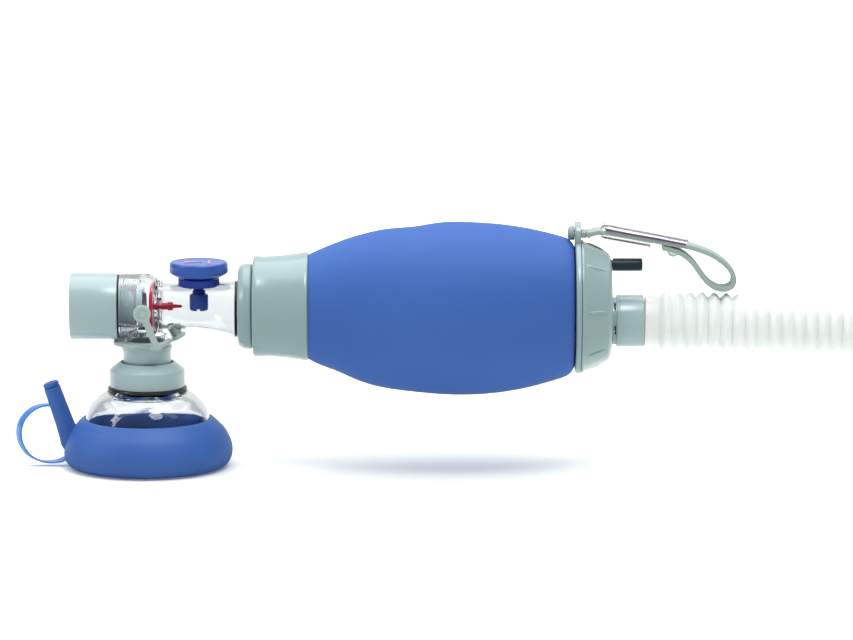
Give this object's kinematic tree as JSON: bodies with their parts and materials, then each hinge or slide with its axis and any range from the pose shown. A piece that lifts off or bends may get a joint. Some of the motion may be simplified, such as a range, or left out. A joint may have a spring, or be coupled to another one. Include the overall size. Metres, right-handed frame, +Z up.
{
  "type": "bag valve mask",
  "caption": "Hand-squeezed resuscitator for a small child: air-cushion face mask, patient valve, squeeze bag, inlet housing with hanging strap and corrugated reservoir tube",
  "frame": {"origin": "centre of the face mask's sealing rim, on the surface that the mask stands on", "axes": "+X along the bag from patient valve to reservoir tube, +Z up from the mask to the valve, -Y towards the side with the port cap's pull tab"},
  "size_m": [0.5542, 0.0806, 0.1153],
  "materials": {
    "grey_plastic": "satin moulded polysulphone, pale grey green",
    "black_rubber": "smooth rubber seal",
    "clear_plastic": "clear polished polycarbonate",
    "red_silicone": "translucent red silicone",
    "dark_blue_plastic": "glossy moulded plastic",
    "blue_plastic": "glossy moulded plastic",
    "spring_steel": "drawn wire",
    "grey_rubber": "soft moulded rubber, pale grey green",
    "blue_vinyl": "soft glossy vinyl",
    "blue_silicone": "satin silicone rubber with soft sheen",
    "black_plastic": "moulded plastic",
    "tube_plastic": "translucent white corrugated plastic",
    "strap_rubber": "soft grey green rubber",
    "clear_film": "clear soft vinyl film",
    "card": "plain card"
  },
  "bodies": {
    "bag": {"bag_shell": "blue_silicone", "front_collar": "grey_plastic", "neck_clamp": "grey_plastic", "bag_clamp_ring": "grey_plastic", "inlet_housing": "grey_plastic", "intake_seat": "grey_plastic", "oxygen_nipple": "black_plastic", "reservoir_connector": "grey_plastic", "reservoir_tube": "tube_plastic", "strap_anchor": "strap_rubber"},
    "near_wall": {"bag_near_wall": "blue_silicone"},
    "far_wall": {"bag_far_wall": "blue_silicone"},
    "intake": {"intake_valve": "red_silicone"},
    "strap": {"hanging_strap": "strap_rubber", "snap_stud": "clear_plastic", "label_sleeve": "clear_film", "label_card": "card"},
    "valve": {"swivel_flange": "grey_plastic", "neck_o_ring": "black_rubber", "valve_neck": "clear_plastic", "inlet_seat": "clear_plastic", "valve_housing": "clear_plastic", "housing_o_ring": "black_rubber", "expiratory_connector": "grey_plastic", "expiratory_grille": "grey_plastic", "relief_base": "dark_blue_plastic", "relief_spring": "spring_steel", "port_cap_strap": "grey_rubber"},
    "shutter": {"shutter_valve": "red_silicone"},
    "knob": {"relief_knob": "blue_plastic"},
    "poppet": {"relief_poppet": "blue_plastic"},
    "cap": {"port_cap": "grey_rubber"},
    "mask": {"patient_connector": "grey_plastic", "mask_dome": "clear_plastic", "mask_ring": "grey_plastic", "mask_gasket": "black_rubber", "mask_cushion": "blue_vinyl", "inflation_stem": "blue_vinyl", "plug_strap": "blue_vinyl"},
    "plug": {"inflation_plug": "blue_vinyl"}
  },
  "joints": [
    {"name": "neck_swivel", "type": "hinge", "parent": "bag", "child": "valve", "pos_m": [0.055, 0, 0.075], "axis": [1, 0, 0], "continuous": true},
    {"name": "patient_swivel", "type": "hinge", "parent": "valve", "child": "mask", "pos_m": [0, 0, 0.057], "axis": [0, 0, 1], "continuous": true},
    {"name": "near_wall_squeeze", "type": "slide", "parent": "bag", "child": "near_wall", "axis": [0, 1, 0], "range_m": [0, 0.02], "stiffness_N_per_m": 500},
    {"name": "far_wall_squeeze", "type": "slide", "parent": "bag", "child": "far_wall", "axis": [0, -1, 0], "range_m": [0, 0.02], "stiffness_N_per_m": 500},
    {"name": "shutter_travel", "type": "slide", "parent": "valve", "child": "shutter", "axis": [-1, 0, 0], "range_m": [0, 0.0026], "stiffness_N_per_m": 15},
    {"name": "intake_travel", "type": "slide", "parent": "bag", "child": "intake", "axis": [-1, 0, 0], "range_m": [0, 0.002], "stiffness_N_per_m": 15},
    {"name": "relief_lock", "type": "hinge", "parent": "valve", "child": "knob", "pos_m": [0.0243, 0, 0.09], "axis": [0, 0, 1], "range_deg": [0, 90]},
    {"name": "relief_lift", "type": "slide", "parent": "valve", "child": "poppet", "axis": [0, 0, 1], "range_m": [0, 0.0015], "stiffness_N_per_m": 300, "deforming": ["relief_spring"]},
    {"name": "port_cap_pull", "type": "slide", "parent": "valve", "child": "cap", "axis": [0.4679, 0, -0.8838], "range_m": [0, 0.006]},
    {"name": "inflation_plug_pull", "type": "slide", "parent": "mask", "child": "plug", "axis": [-0.3253, 0, 0.9456], "range_m": [0, 0.009]},
    {"name": "strap_lift", "type": "hinge", "parent": "bag", "child": "strap", "pos_m": [0.2052, 0, 0.1092], "axis": [0, -1, 0], "range_deg": [0, 80]}
  ],
  "couplings": [
    {"joint": "far_wall_squeeze", "follows": "near_wall_squeeze", "ratio": 1}
  ]
}
